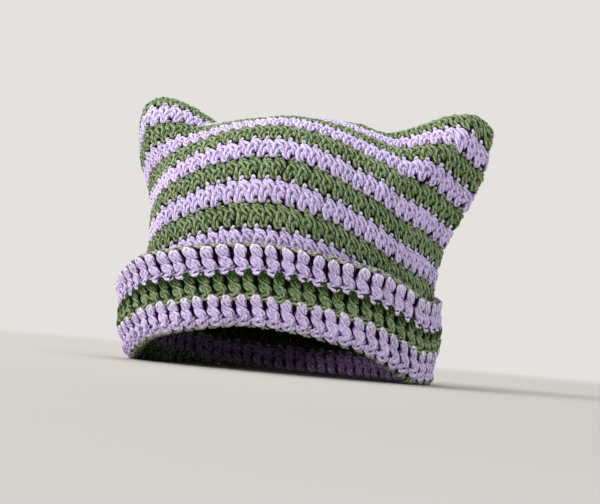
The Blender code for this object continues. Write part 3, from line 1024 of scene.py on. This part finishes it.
def top_seam():
    """The stitched ridge along the top, from one ear to the other."""
    sides = np.linspace(-STITCHES_END, STITCHES_END, SEAM_PLACES)
    frames = [seam_frame(side) for side in sides]
    centres, acrosses, overs = (np.array(part) for part in zip(*frames))
    lengths = lengths_along(centres)
    count = int(lengths[-1] / SEAM_PITCH)
    piece, places, tone, thickness = stitched_ridge(SEAM_STITCH, "top_seam_yarn", count, SEAM_PITCH, FINEST)
    along = (places[:, 0] / SEAM_PITCH + 0.5) / count * lengths[-1]
    away = np.abs(np.interp(along, lengths, sides))
    taper = 1 - SEAM_TAPER * ramp(away, TAPERING)
    width = SEAM_WIDTH * taper * places[:, 1]
    height = SEAM_HEIGHT * taper * places[:, 2]
    height = height + MIDDLE_RISE * swell(away, MIDDLE_REACH) - END_SINK * ramp(away, SINKING)
    points = at_lengths(along, lengths, centres + fabric()[1])
    points += width[:, None] * at_lengths(along, lengths, acrosses)
    points += height[:, None] * at_lengths(along, lengths, overs)
    points[:, 2] += lift(points[:, 0], ROUNDS)
    # Painted shade where the seam's yarn lies low, down to a least painted light.
    depth = SEAM_LEAST_PAINTED_LIGHT + (1 - SEAM_LEAST_PAINTED_LIGHT) * ramp(places[:, 2] / thickness, RIDGE_SHADE_HEIGHTS)
    put(piece.data, points, depth=depth, tone=tone, fuzz=SEAM_FUZZ * depth)
    finish_piece(piece, "green", "top_seam")


def new_sockets(group, inputs, outputs):
    """Gives a node group its named sockets. An input is (name, kind, value)."""
    for name, kind, value in inputs:
        socket = group.interface.new_socket(name=name, in_out="INPUT", socket_type=kind)
        socket.default_value = value
    for name, kind in outputs:
        group.interface.new_socket(name=name, in_out="OUTPUT", socket_type=kind)


def math_node(tree, operation, *values):
    """A Math node whose inputs are sockets or numbers. Returns its output."""
    node = tree.nodes.new("ShaderNodeMath")
    node.operation = operation
    for socket, value in zip(node.inputs, values):
        if isinstance(value, (int, float)):
            socket.default_value = value
        else:
            tree.links.new(value, socket)
    return node.outputs[0]


def mix_node(tree, factor, first, second, blend="MIX"):
    """A colour Mix node whose inputs are sockets or values. Returns its output."""
    node = tree.nodes.new("ShaderNodeMix")
    node.data_type = "RGBA"
    node.blend_type = blend
    for name, value in (("Factor_Float", factor), ("A_Color", first), ("B_Color", second)):
        socket = next(s for s in node.inputs if s.identifier == name)
        if isinstance(value, bpy.types.NodeSocket):
            tree.links.new(value, socket)
        else:
            socket.default_value = value
    return next(s for s in node.outputs if s.identifier == "Result_Color")


def noise_node(tree, place, scale, detail):
    """A Noise Texture node at a place. Returns its output."""
    node = tree.nodes.new("ShaderNodeTexNoise")
    node.inputs["Scale"].default_value = scale
    node.inputs["Detail"].default_value = detail
    tree.links.new(place, node.inputs["Vector"])
    return node.outputs[0]


def attribute_node(tree, name):
    """The value that each vertex of a piece has under this name."""
    node = tree.nodes.new("ShaderNodeAttribute")
    node.attribute_name = name
    return node.outputs["Fac"]


def yarn_group():
    """Twisted plies with fine fibres, painted shade in the hollows and painted highlight.

    Both yarns share it.
    """
    if "twisted_yarn" in bpy.data.node_groups:
        return bpy.data.node_groups["twisted_yarn"]
    group = bpy.data.node_groups.new("twisted_yarn", "ShaderNodeTree")
    inputs = (
        ("Colour", "NodeSocketColor", (0.5, 0.5, 0.5, 1)),
        ("Shade", "NodeSocketColor", (0.02, 0.02, 0.02, 1)),
        ("Crease", "NodeSocketColor", (0.1, 0.1, 0.1, 1)),
        ("Fuzz", "NodeSocketColor", (0.8, 0.8, 0.8, 1)),
        ("Plies", "NodeSocketFloat", 3.0),
        ("Lay", "NodeSocketFloat", 3.0),
        ("Hollows", "NodeSocketFloat", 0.3),
        ("Bloom", "NodeSocketFloat", 0.5),
    )
    new_sockets(group, inputs, (("Colour", "NodeSocketColor"), ("Height", "NodeSocketFloat")))
    given = group.nodes.new("NodeGroupInput").outputs
    result = group.nodes.new("NodeGroupOutput").inputs
    maths = functools.partial(math_node, group)
    mix = functools.partial(mix_node, group)

    # The plies wind round the yarn, whose UV map runs along it and round it.
    uv = group.nodes.new("ShaderNodeUVMap")
    uv.uv_map = "UVMap"
    split = group.nodes.new("ShaderNodeSeparateXYZ")
    group.links.new(uv.outputs[0], split.inputs[0])
    turns = maths("ADD", split.outputs[1], maths("DIVIDE", split.outputs[0], given["Lay"]))
    phase = maths("MULTIPLY", turns, given["Plies"])
    arch = maths("SINE", maths("MULTIPLY", maths("PINGPONG", phase, 0.5), math.pi))
    ply_sharpness = 2.0
    ply = maths("POWER", arch, ply_sharpness)

    # The light is brighter on the plies' crests, with painted shade in the grooves between them,
    # and in patches, and differs from stitch to stitch. The patches, the fibres and the tone are
    # the yarn's own mottle, and the painted light of each vertex scales it all.
    place = group.nodes.new("ShaderNodeTexCoord").outputs["Object"]
    fibre_scale, dapple_scale = 1800.0, 650.0
    fibres = noise_node(group, place, fibre_scale, 2.0)
    dapple = noise_node(group, place, dapple_scale, 1.0)
    darkest, ply_light, fibre_light, tone_light = -0.02, 0.36, 0.5, 0.10
    light = maths("ADD", maths("MULTIPLY", ply, ply_light), darkest)
    light = maths("ADD", light, maths("MULTIPLY", fibres, fibre_light))
    light = maths("ADD", light, dapple)
    light = maths("ADD", light, maths("MULTIPLY", attribute_node(group, "tone"), tone_light))
    shown = maths("MULTIPLY", attribute_node(group, "depth"), light)

    # The colour goes from the painted shade of the hollows through the painted shade of the creases
    # to the yarn's own, and then to the pale colour of the fibres and of the painted highlight.
    highlight_start, fuzz_and_highlight_weight, shade_slope, hollow_slope = 0.7, 0.8, 3.0, 2.0
    painted_highlight = maths("MAXIMUM", maths("SUBTRACT", shown, highlight_start), 0.0)
    painted_highlight = maths("MULTIPLY", painted_highlight, given["Bloom"])
    fuzz_and_highlight_share = maths("ADD", maths("MULTIPLY", attribute_node(group, "fuzz"), fuzz_and_highlight_weight), painted_highlight)
    pale = mix(fuzz_and_highlight_share, given["Colour"], given["Fuzz"])
    hollow_shade = mix(maths("MULTIPLY", shown, shade_slope), given["Shade"], given["Crease"])
    standing = maths("MULTIPLY", maths("SUBTRACT", shown, given["Hollows"]), hollow_slope)
    colour = mix(1.0, mix(standing, hollow_shade, pale), light, "MULTIPLY")
    group.links.new(colour, result["Colour"])

    fibre_height = 0.35
    height = maths("ADD", ply, maths("MULTIPLY", fibres, fibre_height))
    group.links.new(height, result["Height"])
    return group


def yarn_material(colour):
    """Matte twisted yarn of one colour."""
    name = colour + "_yarn_looks"
    if name in bpy.data.materials:
        return bpy.data.materials[name]
    yarn = bpy.context.scene.hat_yarn
    material = bpy.data.materials.new(name)
    material.use_nodes = True
    tree = material.node_tree
    shader = tree.nodes["Principled BSDF"]
    twist = tree.nodes.new("ShaderNodeGroup")
    twist.node_tree = yarn_group()
    settings = {
        "Colour": (*getattr(yarn, colour), 1.0),
        "Shade": (*getattr(yarn, colour + "_shade"), 1.0),
        "Crease": (*getattr(yarn, colour + "_crease"), 1.0),
        "Fuzz": (*getattr(yarn, colour + "_fuzz_and_highlight"), 1.0),
        "Hollows": getattr(yarn, colour + "_hollows"),
        "Bloom": getattr(yarn, colour + "_bloom"),
        "Plies": yarn.plies,
        "Lay": yarn.lay,
    }
    for socket, value in settings.items():
        twist.inputs[socket].default_value = value
    bump = tree.nodes.new("ShaderNodeBump")
    bump.inputs["Strength"].default_value = 0.7
    bump.inputs["Distance"].default_value = 0.0004
    tree.links.new(twist.outputs["Height"], bump.inputs["Height"])
    tree.links.new(bump.outputs["Normal"], shader.inputs["Normal"])
    tree.links.new(twist.outputs["Colour"], shader.inputs["Base Color"])
    shader.inputs["Roughness"].default_value = 0.85
    shader.inputs["Specular IOR Level"].default_value = 0.15
    shader.inputs["Sheen Weight"].default_value = 0.15
    shader.inputs["Sheen Roughness"].default_value = 0.3
    return material


def backdrop():
    """A floor that sweeps up all round into a wall, so that no horizon shows."""
    shape = bmesh.new()
    start = shape.verts.new((0.0, 0.0, 0.0))
    end = shape.verts.new((FLOOR_REACH, 0.0, 0.0))
    shape.edges.new((start, end))
    turned = bmesh.ops.spin(
        shape, geom=[end], cent=(FLOOR_REACH, 0.0, CORNER_RADIUS), axis=(0.0, -1.0, 0.0),
        angle=math.pi / 2, steps=CORNER_STEPS,
    )
    last = [v for v in turned["geom_last"] if isinstance(v, bmesh.types.BMVert)]
    raised = bmesh.ops.extrude_vert_indiv(shape, verts=last)["verts"]
    bmesh.ops.translate(shape, vec=(0.0, 0.0, WALL_TOP - CORNER_RADIUS), verts=raised)
    bmesh.ops.spin(
        shape, geom=shape.edges[:], cent=(0.0, 0.0, 0.0), axis=(0.0, 0.0, 1.0),
        angle=2 * math.pi, steps=TURN_STEPS, use_merge=True,
    )
    bmesh.ops.remove_doubles(shape, verts=shape.verts, dist=MERGE_DISTANCE)
    bmesh.ops.recalc_face_normals(shape, faces=shape.faces)
    bmesh.ops.reverse_faces(shape, faces=shape.faces)
    mesh = mesh_of(shape, "backdrop")
    mesh.shade_smooth()
    return new_object("backdrop", mesh)


def paper_material(floor, wall):
    """Matte floor paper that passes, away from the hat, into a plain evenly lit wall."""
    material = bpy.data.materials.new("pale_paper")
    material.use_nodes = True
    tree = material.node_tree
    shader = tree.nodes["Principled BSDF"]
    place = tree.nodes.new("ShaderNodeTexCoord").outputs["Object"]
    mottle_scale, mottle_tone = 3.0, 0.96
    mottle = noise_node(tree, place, mottle_scale, 2.0)
    away = tree.nodes.new("ShaderNodeVectorMath")
    away.operation = "LENGTH"
    tree.links.new(place, away.inputs[0])
    fade_start, fade_end = 0.35, 1.5
    faded = tree.nodes.new("ShaderNodeMapRange")
    faded.interpolation_type = "SMOOTHSTEP"
    faded.inputs["From Min"].default_value = fade_start
    faded.inputs["From Max"].default_value = fade_end
    tree.links.new(away.outputs["Value"], faded.inputs["Value"])
    darker = tuple(mottle_tone * c for c in floor)
    paper = mix_node(tree, mottle, (*darker, 1.0), (*floor, 1.0))
    matte = mix_node(tree, faded.outputs["Result"], paper, BLACK)
    tree.links.new(matte, shader.inputs["Base Color"])
    glow = mix_node(tree, faded.outputs["Result"], BLACK, (*wall, 1.0))
    tree.links.new(glow, shader.inputs["Emission Color"])
    shader.inputs["Emission Strength"].default_value = 1.0
    shader.inputs["Roughness"].default_value = 0.95
    shader.inputs["Specular IOR Level"].default_value = 0.0
    return material


def looking_at(place, target):
    """The matrix of a light or a camera at a place that faces a target."""
    turned = (Vector(place) - Vector(target)).to_track_quat("Z", "Y").to_matrix().to_4x4()
    return Matrix.Translation(place) @ turned


def area_light(power, name, size, place, target, colour):
    """A soft square light that faces a point."""
    light = bpy.data.lights.new(name, "AREA")
    light.energy = power
    light.size = size
    light.color = colour
    new_object(name, light).matrix_world = looking_at(place, target)


def camera(stage):
    """A camera at the photograph's angle."""
    aside = stage.distance * math.sin(stage.azimuth)
    in_front = stage.distance * math.cos(stage.azimuth)
    data = bpy.data.cameras.new("camera")
    data.lens = stage.lens
    data.sensor_width = SENSOR_WIDTH
    data.clip_start = NEAREST_SEEN
    made = new_object("camera", data)
    turned = looking_at((aside, -in_front, stage.height), CAMERA_TARGET)
    made.matrix_world = turned @ Matrix.Rotation(stage.roll, 4, "Z")
    bpy.context.scene.camera = made


class HAT_OT_rounds(bpy.types.Operator):
    """Crochets the sixteen rounds of the hat"""

    bl_idname = "hat.rounds"
    bl_label = "Crochet Rounds"

    def execute(self, context):
        for number in range(1, ROUNDS + 1):
            crochet_round(number)
        return {"FINISHED"}


class HAT_OT_chain(bpy.types.Operator):
    """Makes the chain at the free edge of the cuff"""

    bl_idname = "hat.chain"
    bl_label = "Foundation Chain"

    def execute(self, context):
        foundation_chain()
        return {"FINISHED"}


class HAT_OT_seam(bpy.types.Operator):
    """Closes the top with a seam from ear to ear"""

    bl_idname = "hat.seam"
    bl_label = "Top Seam"

    def execute(self, context):
        top_seam()
        return {"FINISHED"}


class HAT_OT_stage(bpy.types.Operator):
    """Sets the floor, the lights and the camera"""

    bl_idname = "hat.stage"
    bl_label = "Stage"

    def execute(self, context):
        scene = context.scene
        stage = scene.hat_stage
        sweep = backdrop()
        sweep.data.materials.append(paper_material(stage.floor, stage.wall))
        for light in LIGHTS:
            area_light(getattr(stage, light["name"]), **light)
        world = bpy.data.worlds.new("daylight")
        world.use_nodes = True
        background = world.node_tree.nodes["Background"]
        background.inputs["Color"].default_value = DAYLIGHT_COLOUR
        background.inputs["Strength"].default_value = stage.daylight
        scene.world = world
        camera(stage)
        scene.view_settings.view_transform = "Standard"
        return {"FINISHED"}


class HAT_PT_panel(bpy.types.Panel):
    """Lists the hat's settings and steps"""

    bl_idname = "HAT_PT_panel"
    bl_label = "Crochet Hat"
    bl_space_type = "VIEW_3D"
    bl_region_type = "UI"
    bl_category = "Crochet Hat"

    def draw(self, context):
        for settings in (context.scene.hat_yarn, context.scene.hat_stitches, context.scene.hat_stage):
            box = self.layout.box()
            for name in settings.__annotations__:
                box.prop(settings, name)
        for operator in OPERATORS:
            self.layout.operator(operator.bl_idname)


OPERATORS = (HAT_OT_stage, HAT_OT_rounds, HAT_OT_chain, HAT_OT_seam)
SETTINGS = {"hat_yarn": YarnSettings, "hat_stitches": StitchSettings, "hat_stage": StageSettings}


def register():
    for added in (*SETTINGS.values(), *OPERATORS, HAT_PT_panel):
        bpy.utils.register_class(added)
    for name, group in SETTINGS.items():
        setattr(bpy.types.Scene, name, PointerProperty(type=group))


def unregister():
    for name in SETTINGS:
        delattr(bpy.types.Scene, name)
    for added in reversed((*SETTINGS.values(), *OPERATORS, HAT_PT_panel)):
        bpy.utils.unregister_class(added)


def main():
    register()
    bpy.ops.hat.stage()
    bpy.ops.hat.rounds()
    bpy.ops.hat.chain()
    bpy.ops.hat.seam()


if __name__ == "__main__":
    main()
